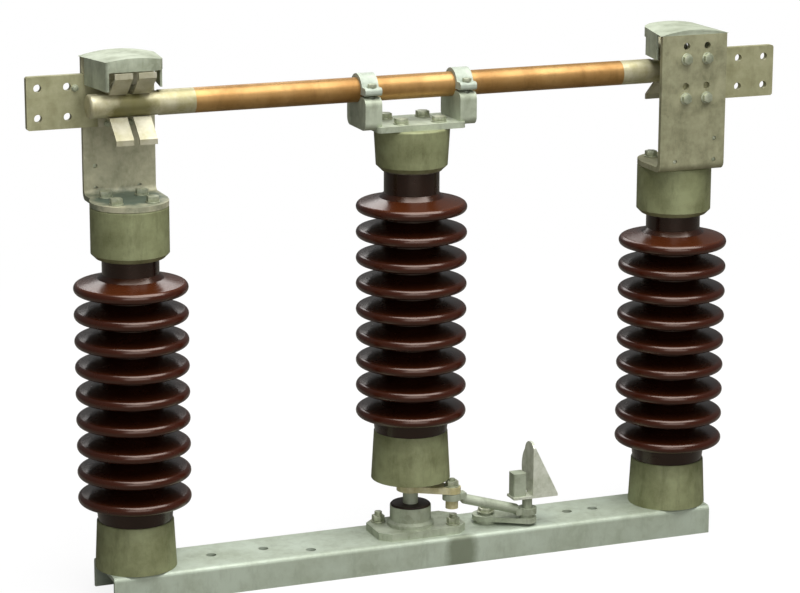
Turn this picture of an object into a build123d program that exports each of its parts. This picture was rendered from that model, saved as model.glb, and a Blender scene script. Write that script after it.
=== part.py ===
"""Three-column side-break disconnect switch, built as an assembly of separate pieces.

Millimetres, +Z up, +X along the base beam and -Y the side the drive rod is on.
The origin is the centre of the base beam on the ground, on the axis of the turning column.
The left jaw is the right jaw turned half a turn about that axis, as on the real switch.
"""

from build123d import *
import math
import os

os.makedirs("parts", exist_ok=True)

# Distance from the turning column to each outer column; beam, blade and jaws follow it
column_spacing = 451

# Base beam: a channel laid open side down, drilled for its mounting bolts
base_end_margin = 51
base_length = 2 * (column_spacing + base_end_margin)
base_width = 112
base_height = 46
base_wall = 6
base_corner_radius = 7
base_hole_radius = 8
base_hole_places = [(-331, 0), (-246, 0), (-179, -32), (273, 0), (318, 0)]

# Post insulators: thick round-edged sheds, with a wide collar over the bottom cap
post_height = 560
centre_foot_height = 90
shed_count = 9
shed_radius = 86
shed_edge_radius = 8
shed_slope_drop = 7
shed_root_size = 7
shed_drip_inset = 14
shed_drip_rise = 3
shed_top_below_post = 125
shed_bottom_above_foot = 109.4
core_radius = 43
collar_top_radius = 60
collar_bottom_radius = 54.5
collar_gap = 1
neck_depth = 30
cap_fit = 0.5
cap_radius = 59
outer_top_cap_height = 78
centre_top_cap_height = 66
centre_top_cap_foot_radius = 55
bottom_cap_height = 58
bottom_cap_top_radius = 56.5
bottom_cap_foot_radius = 62
cap_chamfer = 7
cap_rim_fillet = 3
cap_rim_chamfer = 2

# Turning column: shaft, bearing and drive lever
shaft_radius = 12
running_fit = 0.05
bearing_plate_length = 146
bearing_plate_offset = 9
bearing_plate_width = 88
bearing_plate_thickness = 12
bearing_plate_chamfer = 16
housing_radius = 32.5
housing_foot_radius = 37
housing_foot_height = 5
housing_foot_slope = 4
housing_height = 32
seal_radius = 31.5
seal_chamfer = 1.5
seal_height = 3
lever_pin_x = 55
lever_pin_y = -38
lever_pin_radius = 6
lever_hub_radius = 22
lever_end_radius = 14
lever_waist = 4
lever_thickness = 10
lever_hub_extra = 8
lever_pin_head_radius = 10
lever_pin_head_height = 13

# Drive rod and crank: the crank arm is equal and parallel to the drive lever
crank_axis_x = 130
crank_post_radius = 9
crank_post_flange = 9
crank_post_reach = 4
crank_spindle_radius = 8
crank_thickness = 8
rod_radius = 8
rod_eye_radius = 15
rod_eye_thickness = 10
open_pivot_clearance = 0.25
rod_neck_length = 22
rod_high_drop = 7
rod_low_lift = 5
rod_collar_radius = 12
rod_collar_height = 5
rod_end_gap = 1
horn_thickness = 4
horn_height = 90
horn_foot_rise = 33.5
horn_front = 14
horn_foot_back = 29
horn_foot_width = 28
horn_wing_width = 46
horn_wing_shoulder = 34
horn_wing_length = 43
horn_fold = 4
horn_tip = 16
block_size = 22
block_height = 38
block_back = 17

# Blade and its saddle
blade_rise = 61.4
tube_radius = 19
tube_wall = 4
tube_end_margin = 101
tube_half_length = column_spacing - tube_end_margin
blade_end_margin = 61
blade_half_length = column_spacing + blade_end_margin
blade_end_radius = 5
contact_flat_half_height = 16.6
contact_flat_margin = 47
contact_flat_start = column_spacing - contact_flat_margin
saddle_half_width = 45
saddle_end_margin = 8
saddle_thickness = 9
saddle_corner_radius = 8
cradle_centre = 77.5
cradle_length = 27
cradle_half_width = 39.5
cradle_corner_radius = 12
cradle_foot_lift = 3
split_drop = 8
split_gap = 3
ear_thickness = 12
ear_radius = 5
strap_wall = 6
strap_bolt_offset = 30
strap_bolt_radius = 5
strap_bolt_depth = 22

# Jaw on each outer column
bracket_half_width = 56
bracket_shift = 4
bracket_thickness = 8
bracket_outer_y = 68
bracket_top_rise = 216
bracket_bend_radius = 12
bar_thickness = 10
bar_height = 80
bar_corner_radius = 4
bar_inner_margin = 40
bar_start = column_spacing - bar_inner_margin
bar_outer_margin = 139
bar_end = column_spacing + bar_outer_margin
pad_margin = 99.5
pad_centre = column_spacing + pad_margin
pad_hole_pitch = 45
pad_hole_radius = 6
plate_hole_radius = 5.5
plate_hole_rises = (47, -16)
corner_hole_radius = 3.5
corner_hole_offset = 34
corner_hole_rises = (-135, -101)
finger_width = 27
finger_offset = 18
finger_thickness = 4
finger_contact_gap = 0.4
finger_reach = 14
finger_lip_reach = 47
finger_lip_rise = 36
finger_lip_end = 8
finger_heel = 2
hood_thickness = 3
hood_front_y = 31
hood_front_inner = 48
hood_front_outer = 40
hood_inner_corner = 22
hood_outer_corner = 6
hood_crown = 5
hood_cheek = 40
hood_lip = 12
hood_back_gap = 4

# Heights worked out from the sizes above
outer_foot = base_height
outer_top = outer_foot + post_height
centre_foot = base_height + centre_foot_height
centre_top = centre_foot + post_height
blade_height = centre_top + blade_rise
plate_top = base_height + bearing_plate_thickness
housing_top = plate_top + housing_height
seal_top = housing_top + seal_height
bracket_centre = column_spacing - bracket_shift
bracket_inner_y = bracket_outer_y - bracket_thickness
bar_inner_y = bracket_inner_y - bar_thickness
bracket_top = outer_top + bracket_top_rise
crank_pin_x = crank_axis_x + lever_pin_x
crank_arm_bottom = base_height + 5
crank_arm_top = crank_arm_bottom + crank_thickness
lever_bottom = centre_foot - 22
rod_high_eye = lever_bottom - rod_end_gap - rod_eye_thickness / 2
rod_low_eye = crank_arm_top + rod_collar_height + rod_end_gap + rod_eye_thickness / 2
horn_foot = crank_arm_top + horn_foot_rise
shed_span = post_height - shed_top_below_post - shed_bottom_above_foot
shed_pitch = shed_span / (shed_count - 1)
pin_end = rod_high_eye - rod_eye_thickness / 2 - rod_end_gap - lever_pin_head_height


def write(piece, name):
    """Label a finished piece and write it as its own STEP file."""
    piece.label = name
    export_step(piece, f"parts/{name}.step")


def turned_copy(piece):
    """The same piece half a turn about the axis of the turning column."""
    with BuildPart() as copy:
        add(piece, rotation=(0, 0, 180))
    return copy.part


def porcelain(x, foot):
    """Solid-core porcelain post with its sheds, between the two metal caps."""
    low = foot + bottom_cap_height - neck_depth
    high = foot + post_height - centre_top_cap_height + neck_depth
    first_rim = foot + post_height - shed_top_below_post
    collar_end = foot + bottom_cap_height + collar_gap
    edge = shed_radius - shed_edge_radius
    with BuildPart() as post:
        with BuildSketch(Plane(origin=(x, 0, 0), x_dir=(1, 0, 0), z_dir=(0, -1, 0))):
            with BuildLine():
                point = (core_radius, high)
                Line((0, high), point)
                for index in range(shed_count):
                    rim = first_rim - index * shed_pitch
                    root = rim + shed_edge_radius + shed_slope_drop
                    under = rim - shed_edge_radius + shed_drip_rise
                    Polyline(
                        point,
                        (core_radius, root + shed_root_size),
                        (core_radius + shed_root_size, root),
                        (edge, rim + shed_edge_radius),
                    )
                    ThreePointArc(
                        (edge, rim + shed_edge_radius),
                        (shed_radius, rim),
                        (edge, rim - shed_edge_radius),
                    )
                    point = (edge - shed_drip_inset, under)
                    Line((edge, rim - shed_edge_radius), point)
                    if index < shed_count - 1:
                        inner = (core_radius, under + shed_drip_rise)
                        Line(point, inner)
                        point = inner
                Polyline(
                    point,
                    (collar_top_radius, point[1]),
                    (collar_bottom_radius, collar_end),
                    (core_radius, collar_end),
                    (core_radius, low),
                    (0, low),
                    (0, high),
                )
            make_face()
        revolve(axis=Axis((x, 0, 0), (0, 0, 1)))
    return post.part


def top_cap(x, foot, height, foot_radius):
    """Metal cap cemented over the top of a post, bored to take the porcelain."""
    top = foot + post_height
    with BuildPart() as cap:
        with BuildSketch(Plane.XY.offset(top - height)):
            with Locations((x, 0)):
                Circle(foot_radius)
        with BuildSketch(Plane.XY.offset(top)):
            with Locations((x, 0)):
                Circle(cap_radius)
        loft()
        chamfer(cap.edges().group_by(Axis.Z)[0], cap_chamfer)
        fillet(cap.edges().group_by(Axis.Z)[-1], cap_rim_fillet)
        with BuildSketch(Plane.XY.offset(top - height)):
            with Locations((x, 0)):
                Circle(core_radius + cap_fit)
        depth = height - centre_top_cap_height + neck_depth
        extrude(amount=depth, mode=Mode.SUBTRACT)
    return cap.part


def bottom_cap(x, foot):
    """Flared metal cap cemented over the foot of a post."""
    with BuildPart() as cap:
        with BuildSketch(Plane.XY.offset(foot)):
            with Locations((x, 0)):
                Circle(bottom_cap_foot_radius)
        with BuildSketch(Plane.XY.offset(foot + bottom_cap_height)):
            with Locations((x, 0)):
                Circle(bottom_cap_top_radius)
        loft()
        chamfer(cap.edges().group_by(Axis.Z)[-1], cap_rim_chamfer)
        with BuildSketch(Plane.XY.offset(foot + bottom_cap_height)):
            with Locations((x, 0)):
                Circle(core_radius + cap_fit)
        extrude(amount=-neck_depth, mode=Mode.SUBTRACT)
    return cap.part


# Base beam
with BuildPart() as base_beam:
    with BuildSketch(Plane.YZ):
        with Locations((0, base_height / 2)):
            Rectangle(base_width, base_height)
        with Locations((0, (base_height - base_wall) / 2)):
            Rectangle(base_width - 2 * base_wall, base_height - base_wall, mode=Mode.SUBTRACT)
    extrude(amount=base_length / 2, both=True)
    outer_edges = base_beam.edges().filter_by(Axis.X).group_by(Axis.Z)[-1]
    fillet(outer_edges, base_corner_radius)
    with Locations(Plane.XY.offset(base_height)):
        with Locations(*base_hole_places):
            Hole(base_hole_radius, depth=base_wall)
write(base_beam.part, "base_beam")

# Bearing of the turning column
with BuildPart() as bearing_plate:
    with BuildSketch(Plane.XY.offset(base_height)):
        with Locations((bearing_plate_offset, 0)):
            Rectangle(bearing_plate_length, bearing_plate_width)
    extrude(amount=bearing_plate_thickness)
    chamfer(bearing_plate.edges().filter_by(Axis.Z), bearing_plate_chamfer)
write(bearing_plate.part, "bearing_plate")

with BuildPart() as bearing_housing:
    with BuildSketch(Plane.XZ):
        with BuildLine():
            Polyline(
                (shaft_radius + running_fit, plate_top),
                (housing_foot_radius, plate_top),
                (housing_foot_radius, plate_top + housing_foot_height),
                (housing_radius, plate_top + housing_foot_height + housing_foot_slope),
                (housing_radius, housing_top),
                (shaft_radius + running_fit, housing_top),
                close=True,
            )
        make_face()
    revolve(axis=Axis.Z)
write(bearing_housing.part, "bearing_housing")

with BuildPart() as bearing_seal:
    with BuildSketch(Plane.XY.offset(housing_top)):
        Circle(seal_radius)
        Circle(shaft_radius + running_fit, mode=Mode.SUBTRACT)
    extrude(amount=seal_height)
    chamfer(bearing_seal.edges().group_by(Axis.Z)[-1].sort_by(SortBy.RADIUS)[-1], seal_chamfer)
write(bearing_seal.part, "bearing_seal")

with BuildPart() as rotor_shaft:
    with BuildSketch(Plane.XY.offset(plate_top + 1)):
        Circle(shaft_radius)
    extrude(amount=centre_foot - plate_top - 1)
write(rotor_shaft.part, "rotor_shaft")

# Drive lever with its pin
with BuildPart() as drive_lever:
    with BuildSketch(Plane.XY.offset(lever_bottom)):
        Circle(lever_hub_radius)
        with Locations((lever_pin_x, lever_pin_y)):
            Circle(lever_end_radius)
        with BuildLine():
            angle = math.atan2(lever_pin_y, lever_pin_x)
            across = angle + math.pi / 2
            hub_dx = (lever_hub_radius - lever_waist) * math.cos(across)
            hub_dy = (lever_hub_radius - lever_waist) * math.sin(across)
            end_dx = lever_end_radius * math.cos(across)
            end_dy = lever_end_radius * math.sin(across)
            Polyline(
                (hub_dx, hub_dy),
                (lever_pin_x + end_dx, lever_pin_y + end_dy),
                (lever_pin_x - end_dx, lever_pin_y - end_dy),
                (-hub_dx, -hub_dy),
                close=True,
            )
        make_face()
    extrude(amount=lever_thickness)
    with BuildSketch(Plane.XY.offset(lever_bottom)):
        Circle(lever_hub_radius)
    extrude(amount=lever_thickness + lever_hub_extra)
    with BuildSketch(Plane.XY.offset(pin_end)):
        with Locations((lever_pin_x, lever_pin_y)):
            Circle(lever_pin_radius)
    extrude(until=Until.NEXT)
    with BuildSketch(Plane.XY.offset(pin_end)):
        with Locations((lever_pin_x, lever_pin_y)):
            Circle(lever_pin_head_radius)
    extrude(amount=lever_pin_head_height)
    with BuildSketch(Plane.XY.offset(lever_bottom)):
        Circle(shaft_radius)
    extrude(amount=lever_thickness + lever_hub_extra, mode=Mode.SUBTRACT)
write(drive_lever.part, "drive_lever")

# Drive rod: a slanted round bar with a flat eye at each end
slant_start = Vector(lever_pin_x + rod_neck_length, lever_pin_y, rod_high_eye - rod_high_drop)
slant_end = Vector(crank_pin_x - rod_neck_length, lever_pin_y, rod_low_eye + rod_low_lift)
slant = slant_end - slant_start
rod_ends = ((lever_pin_x, rod_high_eye, 1), (crank_pin_x, rod_low_eye, -1))
with BuildPart() as drive_rod:
    for eye_x, eye_z, inward in rod_ends:
        with BuildSketch(Plane.XY.offset(eye_z - rod_eye_thickness / 2)):
            with Locations((eye_x, lever_pin_y)):
                Circle(rod_eye_radius)
            with Locations((eye_x + inward * rod_neck_length / 2, lever_pin_y)):
                Rectangle(rod_neck_length, 2 * rod_radius)
        extrude(amount=rod_eye_thickness)
    with BuildSketch(Plane(origin=slant_start, z_dir=slant)):
        Circle(rod_radius)
    extrude(amount=slant.length)
    with Locations(slant_start, slant_end):
        Sphere(rod_radius)
    with Locations((lever_pin_x, lever_pin_y, rod_high_eye)):
        Cylinder(lever_pin_radius + running_fit, 3 * rod_eye_thickness, mode=Mode.SUBTRACT)
    with Locations((crank_pin_x, lever_pin_y, rod_low_eye)):
        Cylinder(
            crank_spindle_radius + open_pivot_clearance,
            3 * rod_eye_thickness,
            mode=Mode.SUBTRACT,
        )
write(drive_rod.part, "drive_rod")

# Crank on its fixed post
with BuildPart() as crank_pedestal:
    with BuildSketch(Plane.XY.offset(base_height)):
        with Locations((crank_axis_x, 0)):
            Circle(crank_post_radius + crank_post_flange)
    extrude(amount=crank_arm_bottom - base_height - rod_end_gap)
    with BuildSketch(Plane.XY.offset(base_height)):
        with Locations((crank_axis_x, 0)):
            Circle(crank_post_radius)
    extrude(amount=crank_arm_top - base_height + crank_post_reach)
write(crank_pedestal.part, "crank_pedestal")

with BuildPart() as crank_arm:
    with BuildSketch(Plane.XY.offset(crank_arm_bottom)):
        with Locations((crank_axis_x, 0)):
            Circle(lever_hub_radius)
        with Locations((crank_pin_x, lever_pin_y)):
            Circle(rod_eye_radius)
        with BuildLine():
            Polyline(
                (crank_axis_x + hub_dx, hub_dy),
                (crank_pin_x + end_dx, lever_pin_y + end_dy),
                (crank_pin_x - end_dx, lever_pin_y - end_dy),
                (crank_axis_x - hub_dx, -hub_dy),
                close=True,
            )
        make_face()
    extrude(amount=crank_thickness)
    with BuildSketch(Plane.XY.offset(crank_arm_bottom)):
        with Locations((crank_axis_x, 0)):
            Circle(crank_post_radius + running_fit)
    extrude(amount=crank_thickness, mode=Mode.SUBTRACT)
    with BuildSketch(Plane.XY.offset(crank_arm_top)):
        with Locations((crank_pin_x, lever_pin_y)):
            Circle(rod_collar_radius)
    extrude(amount=rod_collar_height)
    with BuildSketch(Plane.XY.offset(crank_arm_top)):
        with Locations((crank_pin_x, lever_pin_y)):
            Circle(crank_spindle_radius)
    extrude(amount=horn_foot - crank_arm_top)
write(crank_arm.part, "crank_arm")

# Pointed bracket on the crank: a foot and two wings folded at a right angle
horn_top = horn_foot + horn_height
horn_fold_x = crank_pin_x + horn_fold
horn_front_y = lever_pin_y - horn_front
with BuildPart() as crank_horn:
    with BuildSketch(Plane.XY.offset(horn_foot)):
        foot_length = horn_foot_back + horn_fold + horn_wing_length
        foot_middle = crank_pin_x - horn_foot_back + foot_length / 2
        with Locations((foot_middle, horn_front_y + horn_foot_width / 2)):
            Rectangle(foot_length, horn_foot_width)
    extrude(amount=horn_thickness)
    with BuildSketch(Plane.XZ.offset(-horn_front_y)):
        with BuildLine():
            Polyline(
                (horn_fold_x, horn_foot),
                (horn_fold_x + horn_wing_length, horn_foot),
                (horn_fold_x + horn_wing_length, horn_foot + horn_thickness),
                (horn_fold_x + horn_thickness, horn_top - horn_tip / 2),
                (horn_fold_x, horn_top - horn_tip / 2),
                close=True,
            )
        make_face()
    extrude(amount=-horn_thickness)
    with BuildSketch(Plane.YZ.offset(horn_fold_x)):
        with BuildLine():
            shoulder = (horn_front_y + horn_wing_shoulder, horn_top - horn_tip)
            toe = (horn_front_y + horn_foot_width / 2, horn_foot)
            Line((horn_front_y, horn_foot), (horn_front_y, horn_top - horn_tip / 2))
            ThreePointArc(
                (horn_front_y, horn_top - horn_tip / 2),
                (horn_front_y + horn_wing_shoulder / 2, horn_top),
                shoulder,
            )
            ThreePointArc(
                shoulder,
                (horn_front_y + horn_wing_width, horn_foot + horn_height / 2),
                toe,
            )
            Line(toe, (horn_front_y, horn_foot))
        make_face()
    extrude(amount=horn_thickness)
write(crank_horn.part, "crank_horn")

with BuildPart() as crank_block:
    with BuildSketch(Plane.XY.offset(horn_foot + horn_thickness)):
        with Locations((crank_pin_x - block_back, lever_pin_y)):
            Rectangle(block_size, block_size)
    extrude(amount=block_height)
    fillet(crank_block.edges().filter_by(Axis.Z), 3)
write(crank_block.part, "crank_block")

# Three posts with their caps
right_porcelain = porcelain(column_spacing, outer_foot)
write(right_porcelain, "right_porcelain")
write(turned_copy(right_porcelain), "left_porcelain")
write(porcelain(0, centre_foot), "centre_porcelain")
right_top_cap = top_cap(column_spacing, outer_foot, outer_top_cap_height, cap_radius)
write(right_top_cap, "right_top_cap")
write(turned_copy(right_top_cap), "left_top_cap")
centre_top_cap = top_cap(0, centre_foot, centre_top_cap_height, centre_top_cap_foot_radius)
write(centre_top_cap, "centre_top_cap")
right_bottom_cap = bottom_cap(column_spacing, outer_foot)
write(right_bottom_cap, "right_bottom_cap")
write(turned_copy(right_bottom_cap), "left_bottom_cap")
write(bottom_cap(0, centre_foot), "centre_bottom_cap")

# Saddle: a plate on the cap with a cradle under the blade at each end
cradle_foot = centre_top + cradle_foot_lift
split = blade_height - split_drop
cradle_start = cradle_centre - cradle_length / 2


def cradle():
    """The right-hand cradle: a block rounded below, with the seat of the tube cut out of it."""
    with BuildPart() as block:
        with BuildSketch(Plane.YZ.offset(cradle_start)) as outline:
            with Locations((0, (cradle_foot + split) / 2)):
                Rectangle(2 * cradle_half_width, split - cradle_foot)
            fillet(outline.vertices().group_by(Axis.Z)[0], cradle_corner_radius)
            with Locations((0, blade_height)):
                Circle(tube_radius, mode=Mode.SUBTRACT)
        extrude(amount=cradle_length)
    return block.part


with BuildPart() as blade_saddle:
    with BuildSketch(Plane.XY.offset(centre_top)):
        RectangleRounded(
            2 * (cradle_start + saddle_end_margin),
            2 * saddle_half_width,
            saddle_corner_radius,
        )
    extrude(amount=saddle_thickness)
    add(cradle())
    add(turned_copy(cradle()))
    with Locations((0, 0, split)):
        with GridLocations(2 * cradle_centre, 2 * strap_bolt_offset, 2, 2):
            Hole(strap_bolt_radius, depth=strap_bolt_depth)
write(blade_saddle.part, "blade_saddle")

with BuildPart() as right_strap:
    with BuildSketch(Plane.YZ.offset(cradle_start)):
        with Locations((0, split + split_gap + ear_thickness / 2)):
            RectangleRounded(2 * cradle_half_width, ear_thickness, ear_radius)
        with Locations((0, blade_height)):
            Circle(tube_radius + strap_wall)
        with Locations((0, split + split_gap - tube_radius)):
            Rectangle(2 * cradle_half_width, 2 * tube_radius, mode=Mode.SUBTRACT)
        with Locations((0, blade_height)):
            Circle(tube_radius, mode=Mode.SUBTRACT)
    extrude(amount=cradle_length)
    with Locations((cradle_centre, 0, split + split_gap + ear_thickness)):
        with GridLocations(1, 2 * strap_bolt_offset, 1, 2):
            Hole(strap_bolt_radius, depth=ear_thickness)
write(right_strap.part, "right_strap")
write(turned_copy(right_strap.part), "left_strap")

# Blade: copper tube with a plated contact bar at each end
with BuildPart() as blade_tube:
    with BuildSketch(Plane.YZ):
        with Locations((0, blade_height)):
            Circle(tube_radius)
            Circle(tube_radius - tube_wall, mode=Mode.SUBTRACT)
    extrude(amount=tube_half_length, both=True)
write(blade_tube.part, "blade_tube")

with BuildPart() as right_blade_contact:
    with BuildSketch(Plane.YZ.offset(tube_half_length)):
        with Locations((0, blade_height)):
            Circle(tube_radius)
    extrude(amount=blade_half_length - tube_half_length)
    fillet(right_blade_contact.edges().group_by(Axis.X)[-1], blade_end_radius)
    with Locations((blade_half_length, 0, blade_height)):
        for side in (-1, 1):
            with Locations((0, 0, side * (contact_flat_half_height + tube_radius / 2))):
                Box(
                    2 * (blade_half_length - contact_flat_start),
                    2 * tube_radius,
                    tube_radius,
                    mode=Mode.SUBTRACT,
                )
write(right_blade_contact.part, "right_blade_contact")
write(turned_copy(right_blade_contact.part), "left_blade_contact")

# Right jaw: bracket, terminal bar, contact fingers and rain hood
with BuildPart() as right_jaw_bracket:
    with BuildSketch(Plane.XY.offset(outer_top)):
        with Locations((column_spacing, 0)):
            Circle(cap_radius)
        with Locations((bracket_centre, -bracket_outer_y / 2)):
            Rectangle(2 * bracket_half_width, bracket_outer_y)
    extrude(amount=bracket_thickness)
    with BuildSketch(Plane.XY.offset(outer_top)):
        with Locations((bracket_centre, -bracket_outer_y + bracket_thickness / 2)):
            Rectangle(2 * bracket_half_width, bracket_thickness)
    extrude(amount=bracket_top_rise)
    along = right_jaw_bracket.edges().filter_by(Axis.X)
    fillet(along.group_by(Axis.Z)[0].sort_by(Axis.Y)[0], bracket_bend_radius)
    inner = right_jaw_bracket.edges().filter_by_position(
        Axis.Z, outer_top + bracket_thickness - 0.1, outer_top + bracket_thickness + 0.1
    )
    fillet(inner.filter_by(Axis.X).sort_by(Axis.Y)[0], bracket_bend_radius - 4)
    face_centre = (column_spacing, -bracket_outer_y, blade_height)
    with Locations(Plane(origin=face_centre, x_dir=(1, 0, 0), z_dir=(0, -1, 0))):
        for rise in plate_hole_rises:
            with Locations((-finger_offset, rise), (finger_offset, rise)):
                Hole(plate_hole_radius, depth=bracket_thickness)
        low_rise, high_rise = corner_hole_rises
        with Locations(
            (-corner_hole_offset, low_rise),
            (corner_hole_offset, low_rise),
            (corner_hole_offset, high_rise),
        ):
            Hole(corner_hole_radius, depth=bracket_thickness)
write(right_jaw_bracket.part, "right_jaw_bracket")
write(turned_copy(right_jaw_bracket.part), "left_jaw_bracket")

with BuildPart() as right_terminal_bar:
    with BuildSketch(Plane.XZ.offset(bar_inner_y)):
        with Locations(((bar_start + bar_end) / 2, blade_height)):
            RectangleRounded(bar_end - bar_start, bar_height, bar_corner_radius)
        with Locations((pad_centre, blade_height)):
            with GridLocations(pad_hole_pitch, pad_hole_pitch, 2, 2):
                Circle(pad_hole_radius, mode=Mode.SUBTRACT)
    extrude(amount=bar_thickness)
write(right_terminal_bar.part, "right_terminal_bar")
write(turned_copy(right_terminal_bar.part), "left_terminal_bar")


def jaw_fingers(side):
    """The two leaf fingers above or below the blade, each with a flared lip."""
    contact = blade_height + side * (contact_flat_half_height + finger_contact_gap)
    back = contact + side * finger_thickness
    lip = contact + side * finger_lip_rise
    lip_back = finger_lip_end - 1
    tab_end = blade_height + side * bar_height / 2
    with BuildPart() as fingers:
        for offset in (-finger_offset, finger_offset):
            start = column_spacing + offset - finger_width / 2
            with BuildSketch(Plane.YZ.offset(start)):
                with BuildLine():
                    Polyline(
                        (-bar_inner_y, tab_end),
                        (-bar_inner_y, contact),
                        (finger_reach, contact),
                        (finger_lip_reach, lip - side * finger_lip_end),
                        (finger_lip_reach, lip),
                        (finger_lip_reach - finger_thickness, lip),
                        (finger_lip_reach - finger_thickness, lip - side * lip_back),
                        (finger_reach - finger_heel, back),
                        (-bar_inner_y + finger_thickness, back),
                        (-bar_inner_y + finger_thickness, tab_end),
                        close=True,
                    )
                make_face()
            extrude(amount=finger_width)
    return fingers.part


right_upper_fingers = jaw_fingers(1)
write(right_upper_fingers, "right_upper_fingers")
write(turned_copy(right_upper_fingers), "left_upper_fingers")
right_lower_fingers = jaw_fingers(-1)
write(right_lower_fingers, "right_lower_fingers")
write(turned_copy(right_lower_fingers), "left_lower_fingers")

# Rain hood: a crowned top, narrower and rounded at the open side, with cheeks and a short lip
hood_root = (bracket_centre, -bracket_outer_y, bracket_top)
hood_back_y = -bar_inner_y + hood_back_gap


def under_hood(inset):
    """The room under the hood's arch, drawn in by a distance from its outside."""
    half = bracket_half_width + hood_thickness - inset
    front = hood_front_y - inset
    with BuildPart() as room:
        with BuildSketch(Plane(origin=hood_root, x_dir=(1, 0, 0), z_dir=(0, -1, 0))):
            with BuildLine():
                Polyline((-half, 0), (-half, -hood_cheek), (half, -hood_cheek), (half, 0))
                ThreePointArc((half, 0), (0, hood_crown + hood_thickness - inset), (-half, 0))
            make_face()
        extrude(amount=-(bracket_outer_y + front))
        with BuildSketch(Plane.XY.offset(bracket_top - hood_cheek)) as plan:
            with BuildLine():
                Polyline(
                    (bracket_centre - half, -bracket_outer_y),
                    (bracket_centre + half, -bracket_outer_y),
                    (column_spacing + hood_front_outer - inset, front),
                    (column_spacing - hood_front_inner + inset, front),
                    close=True,
                )
            make_face()
            corners = plan.vertices().group_by(Axis.Y)[-1].sort_by(Axis.X)
            fillet(corners[0], hood_inner_corner - inset)
            corners = plan.vertices().group_by(Axis.Y)[-1].sort_by(Axis.X)
            fillet(corners[-1], hood_outer_corner - inset)
        extrude(amount=hood_cheek + 2 * hood_crown, mode=Mode.INTERSECT)
    return room.part


with BuildPart() as right_hood:
    add(under_hood(0))
    add(under_hood(hood_thickness), mode=Mode.SUBTRACT)
    with BuildSketch(Plane.XY.offset(bracket_top - hood_cheek)):
        with Locations((column_spacing, (hood_back_y - bracket_outer_y) / 2)):
            Rectangle(4 * bracket_half_width, bracket_outer_y + hood_back_y)
    extrude(amount=hood_cheek, mode=Mode.SUBTRACT)
    open_left = column_spacing - 2 * bracket_half_width
    open_right = column_spacing + hood_front_outer - hood_thickness - 1
    with BuildSketch(Plane.XY.offset(bracket_top - hood_cheek)):
        with Locations(((open_left + open_right) / 2, hood_front_y)):
            Rectangle(open_right - open_left, 2 * hood_inner_corner)
    extrude(amount=hood_cheek - hood_lip, mode=Mode.SUBTRACT)
write(right_hood.part, "right_hood")
write(turned_copy(right_hood.part), "left_hood")
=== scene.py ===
"""Studio scene of a three-column, side-break disconnect switch.

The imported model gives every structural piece. This script dresses those pieces with
procedural finishes, adds the fasteners, cap sleeves, hood welds and cement beads, and sets
up a pale studio with a camera at the photograph's angle. The scene is in metres, in the
model's frame: +X along the base beam, -Y toward the drive rod, +Z up. The sizes of the
added pieces are written in millimetres.
"""

import logging
import math
from dataclasses import dataclass, replace
from enum import Enum
from typing import Any

import bmesh
import bpy
from mathutils import Matrix, Vector


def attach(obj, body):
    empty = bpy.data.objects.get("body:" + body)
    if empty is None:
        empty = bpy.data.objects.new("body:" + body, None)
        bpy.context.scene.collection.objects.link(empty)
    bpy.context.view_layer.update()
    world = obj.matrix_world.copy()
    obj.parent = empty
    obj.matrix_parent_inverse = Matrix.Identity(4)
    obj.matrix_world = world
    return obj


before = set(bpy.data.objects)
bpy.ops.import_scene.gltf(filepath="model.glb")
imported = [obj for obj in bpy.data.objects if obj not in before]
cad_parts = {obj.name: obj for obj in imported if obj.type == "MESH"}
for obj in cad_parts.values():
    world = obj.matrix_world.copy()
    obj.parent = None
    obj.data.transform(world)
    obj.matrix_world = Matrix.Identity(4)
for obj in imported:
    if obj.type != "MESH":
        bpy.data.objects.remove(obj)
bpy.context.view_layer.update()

Tree = bpy.types.NodeTree
Socket = bpy.types.NodeSocket
Shape = bmesh.types.BMesh
Point = tuple[float, float, float]
Span = tuple[float, float]

LOG = logging.getLogger("disconnect_switch")
MM = 0.001
UP: Point = (0, 0, 1)
FRONT: Point = (0, -1, 0)
BACK: Point = (0, 1, 0)
HEXAGON = 6
SMOOTH_ANGLE = math.radians(35.0)
SAME_PLACE = 1e-6


def linear(colour: str) -> tuple[float, float, float, float]:
    """Turn an sRGB hex colour into linear RGBA.

    Args:
        colour: The colour as "#rrggbb".

    Returns:
        Linear red, green, blue and an alpha of 1.
    """
    channels = [int(colour[i : i + 2], 16) / 255 for i in (1, 3, 5)]
    straight = [c / 12.92 if c <= 0.04045 else ((c + 0.055) / 1.055) ** 2.4 for c in channels]
    return (straight[0], straight[1], straight[2], 1.0)


def per_metre(size_mm: float) -> float:
    """Texture scale whose pattern repeats about every size_mm millimetres."""
    return 1.0 / (size_mm * MM)


def add_node(
    tree: Tree, kind: str, sockets: dict[Any, Any] | None = None, **settings: Any
) -> bpy.types.Node:
    """Add a node, set its properties, and fill or link its inputs.

    Args:
        tree: The node tree that gets the node.
        kind: Blender's name for the kind of node.
        sockets: Inputs by name or index, each a plain value or an output to link from.
        **settings: Properties of the node by name.

    Returns:
        The new node.
    """
    node = tree.nodes.new(kind)
    for name, value in settings.items():
        setattr(node, name, value)
    for key, value in (sockets or {}).items():
        if isinstance(value, Socket):
            tree.links.new(value, node.inputs[key])
        else:
            node.inputs[key].default_value = value
    return node


def new_material(name: str) -> tuple[bpy.types.Material, Tree]:
    """Make an empty node material.

    Args:
        name: What the real material is and how it was made.

    Returns:
        The material and its cleared node tree.
    """
    material = bpy.data.materials.new(name)
    material.use_nodes = True
    material.node_tree.nodes.clear()
    return material, material.node_tree


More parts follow.
